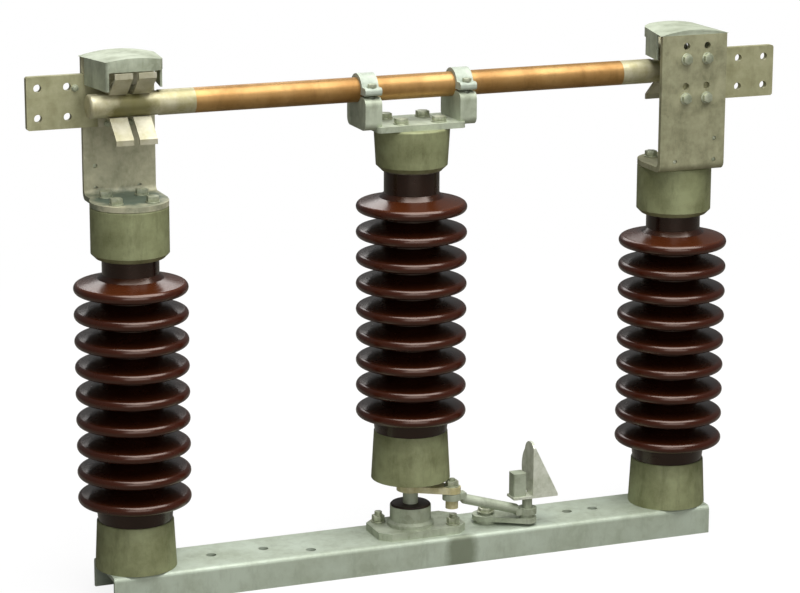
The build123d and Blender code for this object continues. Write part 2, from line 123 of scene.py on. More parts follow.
def mix_colour(tree: Tree, amount: Any, low: Any, high: Any) -> Socket:
    """Blend two colours by an amount.

    Args:
        tree: The node tree.
        amount: A number or an output between 0 and 1.
        low: The colour or output at 0.
        high: The colour or output at 1.

    Returns:
        The blended colour's output.
    """
    node = add_node(tree, "ShaderNodeMix", {0: amount, 6: low, 7: high}, data_type="RGBA")
    return node.outputs[2]


def noise_field(
    tree: Tree, place: Socket, size_mm: float, detail: float = 2.0, roughness: float = 0.5
) -> Socket:
    """Lay soft noise between 0 and 1 on coordinates.

    Args:
        tree: The node tree.
        place: The coordinates.
        size_mm: The size of its patches, in millimetres.
        detail: How many finer layers it has.
        roughness: How strong the finer layers are.

    Returns:
        The noise's output.
    """
    sockets = {
        "Vector": place,
        "Scale": per_metre(size_mm),
        "Detail": detail,
        "Roughness": roughness,
    }
    return add_node(tree, "ShaderNodeTexNoise", sockets).outputs[0]


def ramp(tree: Tree, value: Socket, edges: Span, result: Span = (0.0, 1.0)) -> Socket:
    """Carry a value from one range into another and hold it at the ends.

    Args:
        tree: The node tree.
        value: The value's output.
        edges: Where the ramp starts and where it ends.
        result: What it gives at the start and at the end.

    Returns:
        The carried value's output.
    """
    sockets = {
        "Value": value,
        "From Min": edges[0],
        "From Max": edges[1],
        "To Min": result[0],
        "To Max": result[1],
    }
    return add_node(tree, "ShaderNodeMapRange", sockets).outputs[0]


def join_values(tree: Tree, operation: str, first: Socket, second: Socket) -> Socket:
    """Join two values by one of Blender's math operations.

    Args:
        tree: The node tree.
        operation: Blender's name for the operation.
        first: The first value's output.
        second: The second value's output.

    Returns:
        The result's output.
    """
    return add_node(tree, "ShaderNodeMath", {0: first, 1: second}, operation=operation).outputs[0]


def distance(tree: Tree, place: Socket) -> Socket:
    """How far coordinates are from their origin."""
    length = add_node(tree, "ShaderNodeVectorMath", {0: place}, operation="LENGTH")
    return length.outputs["Value"]


def bumped_normal(tree: Tree, height: Socket, depth_mm: float, strength: float) -> Socket:
    """Turn a height into the normal of a fine relief.

    Args:
        tree: The node tree.
        height: The relief's height, between 0 and 1.
        depth_mm: How deep it is, in millimetres.
        strength: How strongly it shows.

    Returns:
        The normal's output.
    """
    sockets = {"Height": height, "Distance": depth_mm * MM, "Strength": strength}
    return add_node(tree, "ShaderNodeBump", sockets).outputs[0]


class Relief(Enum):
    """How a surface was made, which decides its fine relief."""

    SPANGLED = "spangled"
    SAND_CAST = "sand cast"
    DRAWN = "drawn"


@dataclass(frozen=True)
class WeatheredMetal:
    """A metal surface that has stood outdoors.

    Two close shades in soft patches, grime that runs down the sides, and the relief that
    its making left: zinc crystals, cast grain or fine drawing lines. A dark patch about one
    point, where it has one, is a real stain on some finishes and a painted shadow on others.
    The rubber seal and the cement use the same build.
    """

    name: str
    shade: str
    pale: str
    grime: str
    metallic: float
    roughness: float
    relief: Relief
    patch_mm: float
    grain_mm: float
    grime_amount: float
    relief_depth_mm: float
    # A dark patch about one point: a real stain on some finishes, a painted shadow on others
    stain_and_shadow: str = ""
    stain_and_shadow_centre_mm: Point = (0.0, 0.0, 0.0)
    stain_and_shadow_reach_mm: Point = (1.0, 1.0, 1.0)
    stain_and_shadow_edges: Span = (1.15, 1.6)
    stain_and_shadow_amount: float = 0.85
    patch_edges: Span = (0.35, 0.65)
    speck_edges: Span = (0.2, 0.8)
    speck_amount: float = 0.28
    streak_mm: float = 16.0
    streak_squash: float = 0.3
    grime_edges: Span = (0.5, 0.78)
    polish_edges: Span = (0.3, 0.7)
    dulled: float = 0.08
    polished: float = 0.06
    relief_strength: float = 0.6
    drawing_squash: float = 0.04

    def build(self) -> bpy.types.Material:
        """Build the finish as a node material."""
        material, tree = new_material(self.name)
        place = add_node(tree, "ShaderNodeTexCoord").outputs["Object"]
        patches = noise_field(tree, place, self.patch_mm, detail=5.0, roughness=0.6)
        grain = self._grain(tree, place)
        shades = ramp(tree, patches, self.patch_edges)
        body = mix_colour(tree, shades, linear(self.shade), linear(self.pale))
        specks = ramp(tree, grain, self.speck_edges, (0.0, self.speck_amount))
        body = mix_colour(tree, specks, body, linear(self.pale))
        body = mix_colour(tree, self._grime(tree, place), body, linear(self.grime))
        # Dark patch: real stain or painted shadow, as the finish gives it
        if self.stain_and_shadow:
            body = mix_colour(tree, self._stain_and_shadow(tree, place, patches), body, linear(self.stain_and_shadow))
        gloss = (self.roughness + self.dulled, self.roughness - self.polished)
        shader = add_node(
            tree,
            "ShaderNodeBsdfPrincipled",
            {
                "Base Color": body,
                "Metallic": self.metallic,
                "Roughness": ramp(tree, patches, self.polish_edges, gloss),
                "Normal": bumped_normal(tree, grain, self.relief_depth_mm, self.relief_strength),
            },
        )
        add_node(tree, "ShaderNodeOutputMaterial", {"Surface": shader.outputs[0]})
        return material

    def _grain(self, tree: Tree, place: Socket) -> Socket:
        """Fine relief between 0 and 1.

        Args:
            tree: The node tree.
            place: Object coordinates.

        Returns:
            The relief's height.
        """
        if self.relief is Relief.SPANGLED:
            sockets = {"Vector": place, "Scale": per_metre(self.grain_mm)}
            cells = add_node(tree, "ShaderNodeTexVoronoi", sockets, feature="F1")
            shades = add_node(tree, "ShaderNodeSeparateColor", {0: cells.outputs["Color"]})
            return shades.outputs[0]
        along = self.drawing_squash if self.relief is Relief.DRAWN else 1.0
        lines = add_node(tree, "ShaderNodeMapping", {"Vector": place, "Scale": (along, 1.0, 1.0)})
        return noise_field(tree, lines.outputs[0], self.grain_mm, detail=4.0)

    def _grime(self, tree: Tree, place: Socket) -> Socket:
        """Rain streaks of grime, longer down than across.

        Args:
            tree: The node tree.
            place: Object coordinates.

        Returns:
            How much grime there is, between 0 and 1.
        """
        down = add_node(
            tree, "ShaderNodeMapping", {"Vector": place, "Scale": (1.0, 1.0, self.streak_squash)}
        )
        streaks = noise_field(tree, down.outputs[0], self.streak_mm, detail=6.0, roughness=0.7)
        return ramp(tree, streaks, self.grime_edges, (0.0, self.grime_amount))

    def _stain_and_shadow(self, tree: Tree, place: Socket, ragged: Socket) -> Socket:
        """One dark patch with a ragged edge about a point, which is a real stain on some finishes
        and a painted shadow on others.

        Args:
            tree: The node tree.
            place: Object coordinates.
            ragged: Noise that breaks up the stain's edge.

        Returns:
            How much of the dark patch there is, between 0 and 1.
        """
        reaches = self.stain_and_shadow_reach_mm
        sockets = {
            "Vector": place,
            "Location": tuple(-at / reach for at, reach in zip(self.stain_and_shadow_centre_mm, reaches)),
            "Scale": tuple(per_metre(reach) for reach in reaches),
        }
        around = add_node(tree, "ShaderNodeMapping", sockets)
        away = join_values(tree, "ADD", distance(tree, around.outputs[0]), ragged)
        return ramp(tree, away, self.stain_and_shadow_edges, (self.stain_and_shadow_amount, 0.0))


@dataclass(frozen=True)
class BrownGlaze:
    """Fired brown glaze on wet-process porcelain.

    Nearly black brown where the glaze is thick, orange brown toward the rims of the sheds,
    part glaze run thin and part painted highlight, and dust with painted light on what faces
    up, cut back by painted shade below the top shed.
    Places are in metres.
    """

    name: str
    centre_x: float
    top_shed: float
    thick: str = "#0e0402"
    patch: str = "#210b04"
    # Colour of thin glaze and painted highlight at the sheds' rims
    thin_glaze_and_highlight: str = "#43190a"
    # Colour of dust and painted light on up faces
    dust_and_top_light: str = "#8f471e"
    glint: str = "#ffdcc4"
    patch_mm: float = 35.0
    rim_radius: float = 0.086
    rim_width: float = 0.009
    rim_amount: float = 0.75
    dust_and_top_light_slopes: Span = (0.6, 1.0)
    dust_and_top_light_amount: float = 0.24
    shed_depth: float = 0.02
    shed_shade_share: float = 0.2
    gloss: Span = (0.2, 0.32)
    refraction: float = 1.52
    coat: float = 0.6
    coat_roughness: float = 0.2
    ripple_mm: float = 7.0
    ripple_depth_mm: float = 0.2
    ripple_strength: float = 0.35

    def build(self) -> bpy.types.Material:
        """Build the glaze as a node material."""
        material, tree = new_material(self.name)
        place = add_node(tree, "ShaderNodeTexCoord").outputs["Object"]
        patches = noise_field(tree, place, self.patch_mm, detail=4.0)
        ripple = noise_field(tree, place, self.ripple_mm, detail=1.0)
        body = mix_colour(tree, patches, linear(self.thick), linear(self.patch))
        # Orange brown toward the rims: thin glaze and painted highlight
        body = mix_colour(tree, self._rim(tree, place), body, linear(self.thin_glaze_and_highlight))
        # Paler on up faces: dust and painted light, held back below the top shed as painted shade
        body = mix_colour(tree, self._dust_and_top_light(tree, place), body, linear(self.dust_and_top_light))
        shader = add_node(
            tree,
            "ShaderNodeBsdfPrincipled",
            {
                "Base Color": body,
                "Roughness": ramp(tree, patches, (0.0, 1.0), self.gloss),
                "IOR": self.refraction,
                "Specular Tint": linear(self.glint),
                "Coat Weight": self.coat,
                "Coat Roughness": self.coat_roughness,
                "Normal": bumped_normal(tree, ripple, self.ripple_depth_mm, self.ripple_strength),
            },
        )
        add_node(tree, "ShaderNodeOutputMaterial", {"Surface": shader.outputs[0]})
        return material

    def _rim(self, tree: Tree, place: Socket) -> Socket:
        """How thin the glaze has run, with painted highlight, more toward the sheds' rims.

        Args:
            tree: The node tree.
            place: Object coordinates.

        Returns:
            The share of thin glaze and painted highlight, between 0 and 1.
        """
        sockets = {
            "Vector": place,
            "Location": (-self.centre_x, 0.0, 0.0),
            "Scale": (1.0, 1.0, 0.0),
        }
        centred = add_node(tree, "ShaderNodeMapping", sockets)
        edges = (self.rim_radius - self.rim_width, self.rim_radius)
        return ramp(tree, distance(tree, centred.outputs[0]), edges, (0.0, self.rim_amount))

    def _dust_and_top_light(self, tree: Tree, place: Socket) -> Socket:
        """Dust and painted light on what faces up, cut back by painted shade below the top shed.

        Args:
            tree: The node tree.
            place: Object coordinates.

        Returns:
            How much dust and painted light there is, between 0 and 1.
        """
        normal = add_node(tree, "ShaderNodeNewGeometry").outputs["Normal"]
        upward = add_node(tree, "ShaderNodeSeparateXYZ", {0: normal}).outputs[2]
        up_facing_share = ramp(tree, upward, self.dust_and_top_light_slopes, (0.0, self.dust_and_top_light_amount))
        # Painted shade: below the top shed the up faces stay darker, as the shed above shades
        # them
        height = add_node(tree, "ShaderNodeSeparateXYZ", {0: place}).outputs[2]
        shed = (self.top_shed - self.shed_depth, self.top_shed)
        outside_shed_shade = ramp(tree, height, shed, (self.shed_shade_share, 1.0))
        return join_values(tree, "MULTIPLY", up_facing_share, outside_shed_shade)


@dataclass(frozen=True)
class StudioPaper:
    """Matt white paper under the switch, which keeps a soft shadow of it."""

    name: str = "matt_white_studio_paper"
    colour: str = "#ffffff"
    fibre: str = "#fafafa"
    bounce: str = "#76746d"
    roughness: float = 0.4
    grain_mm: float = 40.0
    glow_reach: Span = (0.9, 2.4)
    glow: Span = (0.88, 1.0)

    def build(self) -> bpy.types.Material:
        """Build the paper so that it reads as white to the camera."""
        material, tree = new_material(self.name)
        place = add_node(tree, "ShaderNodeTexCoord").outputs["Object"]
        seen = add_node(tree, "ShaderNodeLightPath").outputs["Is Camera Ray"]
        grain = noise_field(tree, place, self.grain_mm)
        white = mix_colour(tree, grain, linear(self.colour), linear(self.fibre))
        colour = mix_colour(tree, seen, linear(self.bounce), white)
        paper = add_node(
            tree, "ShaderNodeBsdfDiffuse", {"Color": colour, "Roughness": self.roughness}
        )
        glow = add_node(
            tree, "ShaderNodeEmission", {"Color": linear(self.colour), "Strength": 1.0}
        )
        level = ramp(tree, distance(tree, place), self.glow_reach, self.glow)
        share = join_values(tree, "MULTIPLY", seen, level)
        both = add_node(
            tree, "ShaderNodeMixShader", {0: share, 1: paper.outputs[0], 2: glow.outputs[0]}
        )
        add_node(tree, "ShaderNodeOutputMaterial", {"Surface": both.outputs[0]})
        return material


# Hot-dipped zinc: pale olive grey with 9 mm crystals, dulled by rain
GALVANISED = WeatheredMetal(
    "hot_dip_galvanised_steel", "#9aa18a", "#c4ccb6", "#666a52", 0.25, 0.52, Relief.SPANGLED,
    patch_mm=55.0, grain_mm=9.0, grime_amount=0.45, relief_depth_mm=0.05,
)
# The beam's zinc, with a painted shadow of the centre column's foot on its front
SHADOWED_BEAM = WeatheredMetal(
    "hot_dip_galvanised_beam", "#aab39e", "#c4cfbd", "#7f866f", 0.25, 0.52, Relief.SPANGLED,
    patch_mm=70.0, grain_mm=9.0, grime_amount=0.4, relief_depth_mm=0.05,
    stain_and_shadow="#7c846d", stain_and_shadow_centre_mm=(66.0, -56.0, 22.0), stain_and_shadow_reach_mm=(32.0, 12.0, 46.0),
)
# Galvanised zinc on the horn, painted paler than the other zinc parts: painted light on its bent
# wings
HORN_LIGHT_ZINC = WeatheredMetal(
    "galvanised_horn_painted_light", "#c3c8b1", "#e8ebdb", "#868a66", 0.25, 0.42, Relief.SPANGLED,
    patch_mm=16.0, grain_mm=5.0, grime_amount=0.45, relief_depth_mm=0.05,
)
# Zinc on the bent bracket plates: thinner and browner than the beam's
BRACKET_ZINC = WeatheredMetal(
    "galvanised_bracket_plate", "#888769", "#aeac8b", "#5f5d3e", 0.25, 0.5, Relief.SPANGLED,
    patch_mm=30.0, grain_mm=6.0, grime_amount=0.5, relief_depth_mm=0.05,
)
# The left bracket's zinc, painted paler than the right bracket's as painted light on a plate that
# the hood and blade shade, with verdigris washed down from the copper onto its foot
VERDIGRIS_ZINC = WeatheredMetal(
    "verdigris_streaked_bracket_plate", "#a3a185", "#c6c3a6", "#6b6a4a", 0.25, 0.5,
    Relief.SPANGLED, patch_mm=30.0, grain_mm=6.0, grime_amount=0.45, relief_depth_mm=0.05,
    stain_and_shadow="#50655a", stain_and_shadow_centre_mm=(-451.0, 12.0, 610.0), stain_and_shadow_reach_mm=(66.0, 66.0, 17.0),
)
# Sand-cast malleable iron under thick zinc: darker, olive grey, grain about 2.5 mm
CAP_IRON = WeatheredMetal(
    "galvanised_malleable_iron", "#777a53", "#9a9f76", "#4c4b25", 0.2, 0.58, Relief.SAND_CAST,
    patch_mm=45.0, grain_mm=2.5, grime_amount=0.55, relief_depth_mm=0.3,
)
# Cast aluminium of the tube straps: whiter than the zinc, fine sand grain
CAST_ALUMINIUM = WeatheredMetal(
    "sand_cast_aluminium", "#a3ad9d", "#bfc8b8", "#757d6b", 0.1, 0.55, Relief.SAND_CAST,
    patch_mm=20.0, grain_mm=1.5, grime_amount=0.35, relief_depth_mm=0.15,
)
# Yellow-passivated zinc on the cast lever: straw coloured, worn pale in patches
YELLOW_ZINC = WeatheredMetal(
    "yellow_passivated_lever", "#c0b580", "#e8e1ba", "#726b3e", 0.25, 0.46, Relief.SAND_CAST,
    patch_mm=18.0, grain_mm=2.0, grime_amount=0.45, relief_depth_mm=0.2,
)
# Hard-drawn copper tube: brown gold with drawing lines along its length
COPPER = WeatheredMetal(
    "drawn_copper_tube", "#8f662f", "#bd9359", "#583b1b", 0.6, 0.42, Relief.DRAWN,
    patch_mm=90.0, grain_mm=1.6, grime_amount=0.4, relief_depth_mm=0.05,
)
# Silver plate on the blade's ends: gone golden, with a painted shadow of the hood where each end
# sits in its jaw
BLADE_SILVER_LEFT = WeatheredMetal(
    "tarnished_silver_plate_left", "#a69e70", "#cbc6a8", "#7b7038", 0.4, 0.4, Relief.DRAWN,
    patch_mm=30.0, grain_mm=1.2, grime_amount=0.35, relief_depth_mm=0.04,
    stain_and_shadow="#6b6738", stain_and_shadow_centre_mm=(-448.0, -10.0, 752.0), stain_and_shadow_reach_mm=(40.0, 34.0, 26.0),
)
# The same on the other end
BLADE_SILVER_RIGHT = replace(
    BLADE_SILVER_LEFT, name="tarnished_silver_plate_right", stain_and_shadow_centre_mm=(448.0, 10.0, 752.0)
)
# Silver plate on the fingers: warm white, satin from wiping
SILVER_PLATE = WeatheredMetal(
    "silver_plated_copper", "#aca784", "#cbc7b2", "#7f753f", 0.4, 0.44, Relief.DRAWN,
    patch_mm=30.0, grain_mm=1.2, grime_amount=0.35, relief_depth_mm=0.04,
)
# Tinned flat copper bar: dull yellow grey
TINNED_BAR = WeatheredMetal(
    "tinned_copper_bar", "#96946f", "#b2b08c", "#67653f", 0.25, 0.52, Relief.DRAWN,
    patch_mm=28.0, grain_mm=2.0, grime_amount=0.4, relief_depth_mm=0.06,
)
# Zinc-plated fasteners: brighter and smoother than the dipped parts
ZINC_BOLT = WeatheredMetal(
    "zinc_plated_fastener_steel", "#969d82", "#cfd3ba", "#565a3c", 0.55, 0.4, Relief.SAND_CAST,
    patch_mm=12.0, grain_mm=1.0, grime_amount=0.4, relief_depth_mm=0.05,
)
# Moulded black seal, browned by old grease
SEAL_RUBBER = WeatheredMetal(
    "greasy_moulded_rubber", "#1d130d", "#33231a", "#0e0a07", 0.0, 0.6, Relief.SAND_CAST,
    patch_mm=14.0, grain_mm=1.5, grime_amount=0.5, relief_depth_mm=0.2,
)
# Portland cement between cap and porcelain: mid grey and sandy
CEMENT = WeatheredMetal(
    "portland_cement_joint", "#56503f", "#777160", "#2e2a20", 0.0, 0.85, Relief.SAND_CAST,
    patch_mm=10.0, grain_mm=0.8, grime_amount=0.5, relief_depth_mm=0.3,
)


class Finish(Enum):
    """Finishes of the model's own pieces."""

    GALVANISED = GALVANISED
    HORN_LIGHT = HORN_LIGHT_ZINC
    BEAM = SHADOWED_BEAM
    BRACKET = BRACKET_ZINC
    VERDIGRIS = VERDIGRIS_ZINC
    CAP_IRON = CAP_IRON
    ALUMINIUM = CAST_ALUMINIUM
    YELLOW_ZINC = YELLOW_ZINC
    COPPER = COPPER
    SILVER = SILVER_PLATE
    BLADE_LEFT = BLADE_SILVER_LEFT
    BLADE_RIGHT = BLADE_SILVER_RIGHT
    TINNED = TINNED_BAR
    SEAL = SEAL_RUBBER


NODE_FINISHES: dict[Finish, tuple[str, ...]] = {
    Finish.GALVANISED: (
        "bearing_plate", "bearing_housing", "crank_pedestal", "rotor_shaft", "drive_rod",
        "crank_arm", "crank_block", "blade_saddle", "left_hood", "right_hood",
    ),
    Finish.HORN_LIGHT: ("crank_horn",),
    Finish.BEAM: ("base_beam",),
    Finish.BRACKET: ("right_jaw_bracket",),
    Finish.VERDIGRIS: ("left_jaw_bracket",),
    Finish.CAP_IRON: (
        "left_bottom_cap", "right_bottom_cap", "centre_bottom_cap",
        "left_top_cap", "right_top_cap", "centre_top_cap",
    ),
    Finish.ALUMINIUM: ("left_strap", "right_strap"),
    Finish.YELLOW_ZINC: ("drive_lever",),
    Finish.COPPER: ("blade_tube",),
    Finish.SILVER: (
        "left_upper_fingers", "right_upper_fingers", "left_lower_fingers", "right_lower_fingers",
    ),
    Finish.BLADE_LEFT: ("left_blade_contact",),
    Finish.BLADE_RIGHT: ("right_blade_contact",),
    Finish.TINNED: ("left_terminal_bar", "right_terminal_bar"),
    Finish.SEAL: ("bearing_seal",),
}


class Workshop:
    """Builds each finish once and hands it out."""

    def __init__(self) -> None:
        """Start with no finish built."""
        self._made: dict[str, bpy.types.Material] = {}

    def material(self, finish: WeatheredMetal | BrownGlaze | StudioPaper) -> bpy.types.Material:
        """Give the material of a finish, building it the first time.

        Args:
            finish: The finish wanted.

        Returns:
            Its material.
        """
        if finish.name not in self._made:
            self._made[finish.name] = finish.build()
        return self._made[finish.name]


def finish_piece(
    mesh: Shape, name: str, body: str, material: bpy.types.Material
) -> None:
    """Turn a bmesh into a finished piece that rides on a body.

    Args:
        mesh: The shape, in the model's frame. It is freed.
        name: The piece's name.
        body: The body it moves with.
        material: Its finish.
    """
    bmesh.ops.recalc_face_normals(mesh, faces=mesh.faces[:])
    data = bpy.data.meshes.new(name)
    mesh.to_mesh(data)
    mesh.free()
    data.materials.append(material)
    piece = bpy.data.objects.new(name, data)
    bpy.context.scene.collection.objects.link(piece)
    for polygon in data.polygons:
        polygon.use_smooth = True
    data.set_sharp_from_angle(angle=SMOOTH_ANGLE)
    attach(piece, body)
    LOG.info("built %s with %d faces on %s", name, len(data.polygons), body)


def spun_ring(centre_x: float, outline: list[tuple[float, float]], steps: int) -> Shape:
    """Spin a closed outline once about a post's axis.

    Args:
        centre_x: Where the post stands along the beam, in millimetres.
        outline: Radius and height of each corner, in millimetres.
        steps: How many steps the turn has.

    Returns:
        A new bmesh with the ring.
    """
    mesh = bmesh.new()
    corners = [
        mesh.verts.new(((centre_x + radius) * MM, 0.0, height * MM)) for radius, height in outline
    ]
    edges = [mesh.edges.new((corners[i - 1], corners[i])) for i in range(len(corners))]
    bmesh.ops.spin(
        mesh,
        geom=corners + edges,
        cent=(centre_x * MM, 0, 0),
        axis=UP,
        angle=math.tau,
        steps=steps,
        use_merge=True,
    )
    bmesh.ops.remove_doubles(mesh, verts=mesh.verts[:], dist=SAME_PLACE)
    return mesh


def facing(point: Point, direction: Point) -> Matrix:
    """Place a part so that its own +Z points along a direction.

    Args:
        point: Where its origin goes, in millimetres.
        direction: The way its +Z points.

    Returns:
        The placing matrix, in metres.
    """
    turn = Vector(UP).rotation_difference(Vector(direction)).to_matrix().to_4x4()
    return Matrix.Translation(Vector(point) * MM) @ turn


def half_turn(places: list[Matrix]) -> list[Matrix]:
    """The same places half a turn about the centre column, as the two jaws are."""
    return [Matrix.Rotation(math.pi, 4, "Z") @ place for place in places]


@dataclass(frozen=True)
class Disc:
    """One chamfered disc or hexagon of a fastener.

    All sizes are in millimetres: its corner radius, its height above the surface, its
    thickness, and how much is taken off its rims.
    """

    radius: float
    low: float
    height: float
    sides: int
    chamfer: float
    rim_steepness: float = 0.5

    def add_to(self, mesh: Shape, place: Matrix) -> None:
        """Add the disc to a mesh.

        Args:
            mesh: The mesh that gets it.
            place: The fastener's place.
        """
        middle = Matrix.Translation((0, 0, (self.low + self.height / 2) * MM))
        made = bmesh.ops.create_cone(
            mesh,
            cap_ends=True,
            segments=self.sides,
            radius1=self.radius * MM,
            radius2=self.radius * MM,
            depth=self.height * MM,
            matrix=place @ middle,
        )
        own = set(made["verts"])
        axis = place.to_3x3() @ Vector(UP)
        rims = [
            edge
            for edge in {e for v in own for e in v.link_edges}
            if abs((edge.verts[0].co - edge.verts[1].co).normalized().dot(axis))
            < self.rim_steepness
        ]
        bmesh.ops.bevel(
            mesh,
            geom=rims,
            offset=min(self.chamfer, self.height / 3) * MM,
            offset_type="OFFSET",
            segments=2,
            profile=0.5,
            affect="EDGES",
            material=-1,
        )


@dataclass(frozen=True)
class HexFastener:
    """A hexagon bolt head or nut with its washer and the end of its thread.

    All sizes are in millimetres, measured from the surface it is tightened on.
    """

    across_flats: float
    height: float
    washer_radius: float = 0.0
    washer_height: float = 0.0
    thread_radius: float = 0.0
    thread_reach: float = 0.0
    thread_pitch: float = 1.75
    washer_sides: int = 28
    washer_chamfer: float = 0.4
    corner_chamfer: float = 1.0
    thread_sides: int = 18
    thread_chamfer: float = 0.5

    def add_to(self, mesh: Shape, place: Matrix) -> None:
        """Add the fastener to a mesh.

        Args:
            mesh: The mesh that collects the fasteners of one piece.
            place: Where it goes, with its +Z away from the surface.
        """
        for disc in self._discs():
            disc.add_to(mesh, place)

    def _discs(self) -> list[Disc]:
        """Washer, hexagon and turns of the thread, from the surface up."""
        discs = []
        if self.washer_height > 0:
            discs.append(
                Disc(
                    self.washer_radius,
                    0.0,
                    self.washer_height,
                    self.washer_sides,
                    self.washer_chamfer,
                )
            )
        corner = self.across_flats / math.sqrt(3)
        discs.append(Disc(corner, self.washer_height, self.height, HEXAGON, self.corner_chamfer))
        if self.thread_reach > 0:
            top = self.washer_height + self.height
            turns = max(2, round(self.thread_reach / self.thread_pitch))
            discs += [
                Disc(
                    self.thread_radius,
                    top + index * self.thread_reach / turns,
                    self.thread_reach / turns,
                    self.thread_sides,
                    self.thread_chamfer,
                )
                for index in range(turns)
            ]
        return discs


@dataclass
class FastenerGroup:
    """Fasteners of one piece that share a body, a size and a finish."""

    name: str
    body: str
    kind: HexFastener
    places: list[Matrix]

    def build(self, shop: Workshop) -> None:
        """Build the group as one piece.

        Args:
            shop: Where finishes come from.
        """
        mesh = bmesh.new()
        for place in self.places:
            self.kind.add_to(mesh, place)
        finish_piece(mesh, self.name, self.body, shop.material(ZINC_BOLT))


@dataclass
class CementJoint:
    """The rounded bead of cement under the cap at a post's head.

    Sizes are in millimetres.
    """

    name: str
    body: str
    centre_x: float
    mouth: float
    inner: float = 42.6
    outer: float = 47.0
    root: float = 1.0
    drop: float = 2.6
    brow: float = 1.0
    round_over: Span = (0.5, 0.8)
    steps: int = 64

    def build(self, shop: Workshop) -> None:
        """Spin the bead's outline about the post.

        Args:
            shop: Where finishes come from.
        """
        middle = (self.inner + self.outer) / 2
        outline = [
            (self.inner, self.mouth + self.root),
            (self.outer, self.mouth + self.root),
            (self.outer, self.mouth - self.drop * self.round_over[0]),
            (middle + self.brow, self.mouth - self.drop * self.round_over[1]),
            (self.inner, self.mouth - self.drop),
        ]
        mesh = spun_ring(self.centre_x, outline, self.steps)
        finish_piece(mesh, self.name, self.body, shop.material(CEMENT))


@dataclass
class CapSleeve:
    """The skirted casting over a post's foot, which reaches up to the lowest shed's collar.

    Sizes are in millimetres. It is fitted over the shorter solid cap.
    """

    name: str
    body: str
    centre_x: float
    foot: float
    height: float
    top_radius: float
    foot_radius: float = 62.15
    foot_gap: float = 0.3
    wall: float = 1.2
    lip: float = 2.0
    lip_round: float = 0.3
    lip_reach: float = 3.0
    steps: int = 96

    def build(self, shop: Workshop) -> None:
        """Spin the casting's outline about the post.

        Args:
            shop: Where finishes come from.
        """
        top = self.foot + self.height
        low = self.foot + self.foot_gap
        outline = [
            (self.foot_radius, low),
            (self.top_radius, top - self.lip),
            (self.top_radius - self.lip * self.lip_round, top - self.lip * self.lip_round),
            (self.top_radius - self.lip, top),
            (self.top_radius - self.lip_reach, top),
            (self.top_radius - self.lip_reach, top - self.lip_reach),
            (self.top_radius - self.wall, top - self.lip_reach - self.wall),
            (self.foot_radius - self.wall, low),
        ]
        mesh = spun_ring(self.centre_x, outline, self.steps)
        finish_piece(mesh, self.name, self.body, shop.material(CAP_IRON))


@dataclass
class BasePlant:
    """Fasteners of the bearing and of the crank's post, in millimetres."""

    stud_centre: float = 9.0
    stud_x: float = 53.0
    stud_y: float = 27.0
    plate_top: float = 58.0
    stud: HexFastener = HexFastener(
        across_flats=18, height=9, washer_radius=11.5, washer_height=2.2,
        thread_radius=6, thread_reach=6,
    )
    crank_x: float = 130.0
    crank_nut_seat: float = 63.0
    crank_nut: HexFastener = HexFastener(
        across_flats=22, height=5, washer_radius=14, washer_height=1.6,
        thread_radius=8, thread_reach=2,
    )

    def build(self, shop: Workshop) -> None:
        """Build the studs with their nuts, and the nut on the crank's post."""
        studs = [
            facing(
                (self.stud_centre + side * self.stud_x, -side * self.stud_y, self.plate_top), UP
            )
            for side in (-1, 1)
        ]
        FastenerGroup("bearing_studs", "base", self.stud, studs).build(shop)
        post = [facing((self.crank_x, 0, self.crank_nut_seat), UP)]
        FastenerGroup("crank_post_nut", "base", self.crank_nut, post).build(shop)


@dataclass
class HoodSeam:
    """The weld that closes the crescent between a bracket's top edge and its hood's crown.

    Sizes are in millimetres.
    """

    centre_x: float = 447.0
    half_width: float = 55.5
    crown: float = 4.9
    bracket_top: float = 822.0
    back_y: float = -67.6
    depth: float = 4.0
    steps: int = 256

    def build(self, shop: Workshop, side: str, turn: float) -> None:
        """Cut the crescent from a flat disc and extrude it.

        Args:
            shop: Where finishes come from.
            side: Which jaw it is for.
            turn: How far it is turned about the centre column, in radians.
        """
        radius = (self.half_width**2 + self.crown**2) / (2 * self.crown)
        centre = Vector((self.centre_x, self.back_y, self.bracket_top + self.crown - radius))
        place = Matrix.Translation(centre * MM) @ Matrix.Rotation(math.pi / 2, 4, "X")
        mesh = bmesh.new()
        bmesh.ops.create_circle(
            mesh, cap_ends=True, segments=self.steps, radius=radius * MM, matrix=place
        )
        bmesh.ops.bisect_plane(
            mesh,
            geom=mesh.verts[:] + mesh.edges[:] + mesh.faces[:],
            plane_co=(0, 0, self.bracket_top * MM),
            plane_no=UP,
            clear_inner=True,
        )
        grown = bmesh.ops.extrude_face_region(mesh, geom=mesh.faces[:])["geom"]
        corners = [item for item in grown if isinstance(item, bmesh.types.BMVert)]
        bmesh.ops.translate(mesh, vec=(0, self.depth * MM, 0), verts=corners)
        bmesh.ops.transform(mesh, matrix=Matrix.Rotation(turn, 4, "Z"), verts=mesh.verts[:])
        name = f"{side}_hood_weld"
        finish_piece(mesh, name, "base", shop.material(GALVANISED))


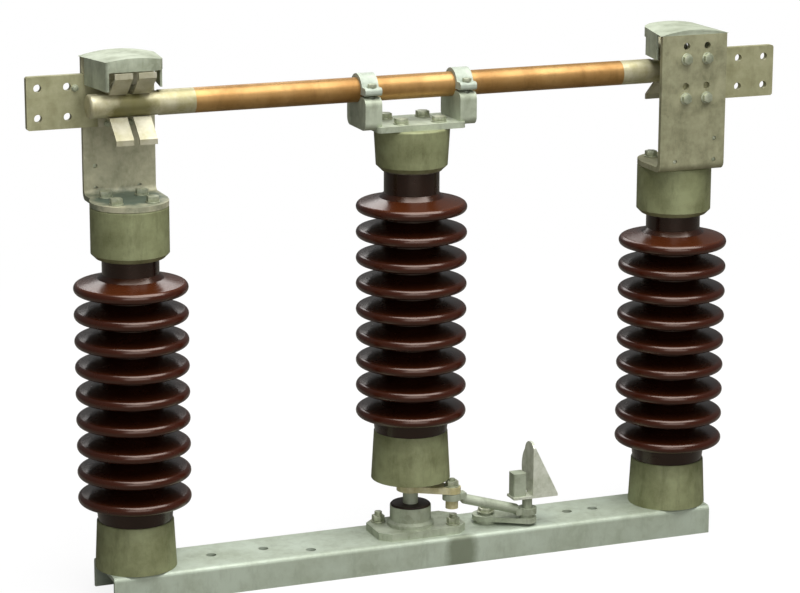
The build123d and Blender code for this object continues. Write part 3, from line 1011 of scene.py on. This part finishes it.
@dataclass
class ContactJaws:
    """Fasteners and hood welds of the two jaws.

    They are laid out on the right jaw, in millimetres, and turned for the left one.
    """

    column_x: float = 451.0
    blade_height: float = 757.4
    finger_bolt_x: float = 18.0
    finger_bolt_rises: Span = (27.0, -35.0)
    finger_bolt_face: float = -68.0
    finger_bolt: HexFastener = HexFastener(
        across_flats=14, height=6.5, washer_radius=9.5, washer_height=1.8
    )
    finger_nut_face: float = -46.0
    finger_nut: HexFastener = HexFastener(
        across_flats=9, height=5, washer_radius=5.2, washer_height=1.2,
        thread_radius=3.2, thread_reach=3, thread_pitch=1.0,
    )
    gauge_screw_face: float = -63.0
    gauge_screw_places: tuple[tuple[float, float], ...] = ((-34, -135), (34, -135), (34, -101))
    gauge_screw: HexFastener = HexFastener(
        across_flats=5.2, height=1, washer_radius=3.3, washer_height=3.4
    )
    pad_bolt_face: float = -50.0
    pad_bolt_x: float = 516.0
    pad_bolt_rise: float = 20.0
    pad_bolt: HexFastener = HexFastener(
        across_flats=8.5, height=4, washer_radius=5.5, washer_height=1
    )
    foot_top: float = 614.0
    foot_bolt_offset: float = 28.0
    foot_bolt: HexFastener = HexFastener(
        across_flats=17, height=8, washer_radius=11, washer_height=2
    )

    def build(self, shop: Workshop) -> None:
        """Build the screws, bolts, nuts and hood weld of each jaw."""
        for name, (kind, places) in self._right_fasteners().items():
            FastenerGroup(f"right_{name}", "base", kind, places).build(shop)
            FastenerGroup(f"left_{name}", "base", kind, half_turn(places)).build(shop)
        HoodSeam().build(shop, "right", 0.0)
        HoodSeam().build(shop, "left", math.pi)

    def _right_fasteners(self) -> dict[str, tuple[HexFastener, list[Matrix]]]:
        """Each group of the right jaw by name, with its kind and its places."""
        grid = [
            (self.column_x + dx, self.blade_height + dz)
            for dx in (-self.finger_bolt_x, self.finger_bolt_x)
            for dz in self.finger_bolt_rises
        ]
        screws = [
            facing((self.column_x + dx, self.gauge_screw_face, self.blade_height + dz), FRONT)
            for dx, dz in self.gauge_screw_places
        ]
        heads = [facing((x, self.finger_bolt_face, z), FRONT) for x, z in grid]
        nuts = [facing((x, self.finger_nut_face, z), BACK) for x, z in grid]
        pad_height = self.blade_height + self.pad_bolt_rise
        pads = [facing((self.pad_bolt_x, self.pad_bolt_face, pad_height), BACK)]
        feet = [
            facing((self.column_x + dx, dy, self.foot_top), UP)
            for dx in (-self.foot_bolt_offset, self.foot_bolt_offset)
            for dy in (-self.foot_bolt_offset, self.foot_bolt_offset)
        ]
        return {
            "gauge_screws": (self.gauge_screw, screws),
            "finger_bolt_heads": (self.finger_bolt, heads),
            "finger_bolt_nuts": (self.finger_nut, nuts),
            "pad_bolt": (self.pad_bolt, pads),
            "foot_bolts": (self.foot_bolt, feet),
        }


@dataclass
class TurningColumn:
    """Fasteners that turn with the centre column and its blade, in millimetres."""

    cradle_x: float = 77.5
    ear_y: float = 31.5
    ear_top: float = 764.4
    strap_bolt: HexFastener = HexFastener(across_flats=12, height=6)
    plate_top: float = 705.0
    saddle_places: tuple[tuple[float, float], ...] = ((-28, -26), (34, -26), (28, 26), (-34, 26))
    saddle_bolt: HexFastener = HexFastener(
        across_flats=19, height=7, washer_radius=12, washer_height=2
    )
    lever_pin: Point = (55.0, -38.0, 124.0)
    lever_pin_nut: HexFastener = HexFastener(
        across_flats=18, height=8, washer_radius=12, washer_height=2,
        thread_radius=5, thread_reach=3,
    )

    def build(self, shop: Workshop) -> None:
        """Build the strap bolts, the saddle's bolts and the lever pin's nut."""
        straps = [
            facing((x, y, self.ear_top), UP)
            for x in (-self.cradle_x, self.cradle_x)
            for y in (-self.ear_y, self.ear_y)
        ]
        saddle = [facing((x, y, self.plate_top), UP) for x, y in self.saddle_places]
        pin = [facing(self.lever_pin, UP)]
        FastenerGroup("strap_bolts", "rotor", self.strap_bolt, straps).build(shop)
        FastenerGroup("saddle_bolts", "rotor", self.saddle_bolt, saddle).build(shop)
        FastenerGroup("lever_pin_nut", "rotor", self.lever_pin_nut, pin).build(shop)


@dataclass(frozen=True)
class Post:
    """Where one post stands, the size of its foot's sleeve and the height of its head's cap.

    Sizes are in millimetres.
    """

    side: str
    body: str
    centre_x: float
    foot: float
    sleeve_height: float
    sleeve_radius: float
    head_mouth: float


@dataclass
class PostJoints:
    """The sleeve over each post's foot and the cement bead under its head."""

    posts: tuple[Post, ...] = (
        Post("left", "base", -451.0, 46.0, 74.0, 58.6, 528.0),
        Post("centre", "rotor", 0.0, 136.0, 78.0, 57.9, 630.0),
        Post("right", "base", 451.0, 46.0, 74.0, 58.6, 528.0),
    )

    def build(self, shop: Workshop) -> None:
        """Build three sleeves and three beads."""
        for post in self.posts:
            CapSleeve(
                f"{post.side}_cap_sleeve",
                post.body,
                post.centre_x,
                post.foot,
                post.sleeve_height,
                post.sleeve_radius,
            ).build(shop)
            CementJoint(
                f"{post.side}_head_cement", post.body, post.centre_x, post.head_mouth
            ).build(shop)


@dataclass
class Dressing:
    """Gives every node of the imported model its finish.

    A porcelain is listed with its centre along the beam and its top shed's height, both
    in metres.
    """

    porcelain: tuple[tuple[str, float, float], ...] = (
        ("left_porcelain", -0.451, 0.481),
        ("centre_porcelain", 0.0, 0.571),
        ("right_porcelain", 0.451, 0.481),
    )

    def build(self, shop: Workshop) -> None:
        """Assign the finishes, node by node."""
        materials = {
            name: shop.material(finish.value)
            for finish, names in NODE_FINISHES.items()
            for name in names
        }
        for name, centre, top in self.porcelain:
            materials[name] = shop.material(BrownGlaze(f"brown_glazed_{name}", centre, top))
        bare = sorted(set(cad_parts) - set(materials))
        if bare:
            raise ValueError(f"no finish for {bare}")
        for name, material in materials.items():
            self._dress(name, material)

    def _dress(self, name: str, material: bpy.types.Material) -> None:
        """Put one material on one node.

        Args:
            name: The node.
            material: Its finish.
        """
        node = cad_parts[name]
        if not node.material_slots:
            node.data.materials.append(material)
        for held in node.material_slots:
            held.material = material
        LOG.info("dressed %s in %s", name, material.name)


@dataclass(frozen=True)
class Softbox:
    """A rectangular lamp, in metres and watts."""

    name: str
    place: Point
    width: float
    height: float
    power: float


@dataclass
class Studio:
    """Paper floor, soft lamps, pale surround and the camera.

    Places are in metres, angles in degrees. The camera was fitted to the photograph.
    """

    eye: Point = (-1.6748, -4.1471, 1.518)
    azimuth: float = 21.99
    pitch: float = 14.03
    roll: float = 0.225
    focal_mm: float = 133.5
    sensor_mm: float = 36.0
    shift_x: float = -0.0138
    shift_y: float = 0.0209
    far_clip: float = 50.0
    floor_half: float = 18.0
    surround: str = "#ffffff"
    fill_level: float = 0.12
    lit_point: Point = (0.0, 0.0, 0.45)
    lamps: tuple[Softbox, ...] = (
        Softbox("overhead_softbox", (0.35, -1.1, 4.1), 4.4, 4.0, 272.0),
        Softbox("front_softbox", (-1.0, -5.4, 2.0), 5.0, 3.6, 102.0),
        Softbox("back_softbox", (0.4, 3.2, 2.8), 2.0, 2.0, 25.0),
    )

    def build(self, shop: Workshop) -> None:
        """Build the floor, the surround, the lamps and the camera."""
        self._floor(shop)
        self._surround()
        for lamp in self.lamps:
            self._hang(lamp)
        self._camera()

    def _floor(self, shop: Workshop) -> None:
        """Lay the paper on the ground."""
        mesh = bmesh.new()
        bmesh.ops.create_grid(mesh, x_segments=4, y_segments=4, size=self.floor_half)
        data = bpy.data.meshes.new("studio_floor")
        mesh.to_mesh(data)
        mesh.free()
        data.materials.append(shop.material(StudioPaper()))
        floor = bpy.data.objects.new("studio_floor", data)
        bpy.context.scene.collection.objects.link(floor)

    def _surround(self) -> None:
        """White to the camera and in what it sees through, a dim pale level for lighting."""
        world = bpy.data.worlds.new("pale_surround")
        world.use_nodes = True
        tree = world.node_tree
        tree.nodes.clear()
        path = add_node(tree, "ShaderNodeLightPath").outputs
        seen = join_values(tree, "MAXIMUM", path["Is Camera Ray"], path["Is Transmission Ray"])
        level = ramp(tree, seen, (0.0, 1.0), (self.fill_level, 1.0))
        light = add_node(
            tree, "ShaderNodeBackground", {"Color": linear(self.surround), "Strength": level}
        )
        add_node(tree, "ShaderNodeOutputWorld", {"Surface": light.outputs[0]})
        bpy.context.scene.world = world

    def _hang(self, softbox: Softbox) -> None:
        """Hang one softbox aimed at the middle of the switch.

        Args:
            softbox: The lamp.
        """
        data = bpy.data.lights.new(softbox.name, "AREA")
        data.shape = "RECTANGLE"
        data.size = softbox.width
        data.size_y = softbox.height
        data.energy = softbox.power
        lamp = bpy.data.objects.new(softbox.name, data)
        place = Vector(softbox.place)
        aim = (Vector(self.lit_point) - place).to_track_quat("-Z", "Y")
        lamp.matrix_world = Matrix.Translation(place) @ aim.to_matrix().to_4x4()
        bpy.context.scene.collection.objects.link(lamp)

    def _camera(self) -> None:
        """Set up the camera at the photograph's angle."""
        turn, dip, tilt = (math.radians(v) for v in (self.azimuth, self.pitch, self.roll))
        ahead = Vector(
            (math.sin(turn) * math.cos(dip), math.cos(turn) * math.cos(dip), -math.sin(dip))
        )
        level = Vector((math.cos(turn), -math.sin(turn), 0))
        upright = level.cross(ahead)
        right = level * math.cos(tilt) + upright * math.sin(tilt)
        top = upright * math.cos(tilt) - level * math.sin(tilt)
        axes = Matrix((right, top, -ahead)).transposed().to_4x4()
        data = bpy.data.cameras.new("photograph_camera")
        data.sensor_width = self.sensor_mm
        data.lens = self.focal_mm
        data.shift_x = self.shift_x
        data.shift_y = self.shift_y
        data.clip_end = self.far_clip
        camera = bpy.data.objects.new("photograph_camera", data)
        camera.matrix_world = Matrix.Translation(Vector(self.eye)) @ axes
        bpy.context.scene.collection.objects.link(camera)
        bpy.context.scene.camera = camera


def main() -> None:
    """Dress the model, add its fasteners and joints, and set up the studio."""
    logging.basicConfig(level=logging.INFO, format="%(message)s")
    bpy.context.scene.view_settings.view_transform = "Standard"
    shop = Workshop()
    Dressing().build(shop)
    for assembly in (BasePlant(), PostJoints(), TurningColumn(), ContactJaws()):
        assembly.build(shop)
        LOG.info("finished %s", type(assembly).__name__)
    Studio().build(shop)


if __name__ == "__main__":
    main()
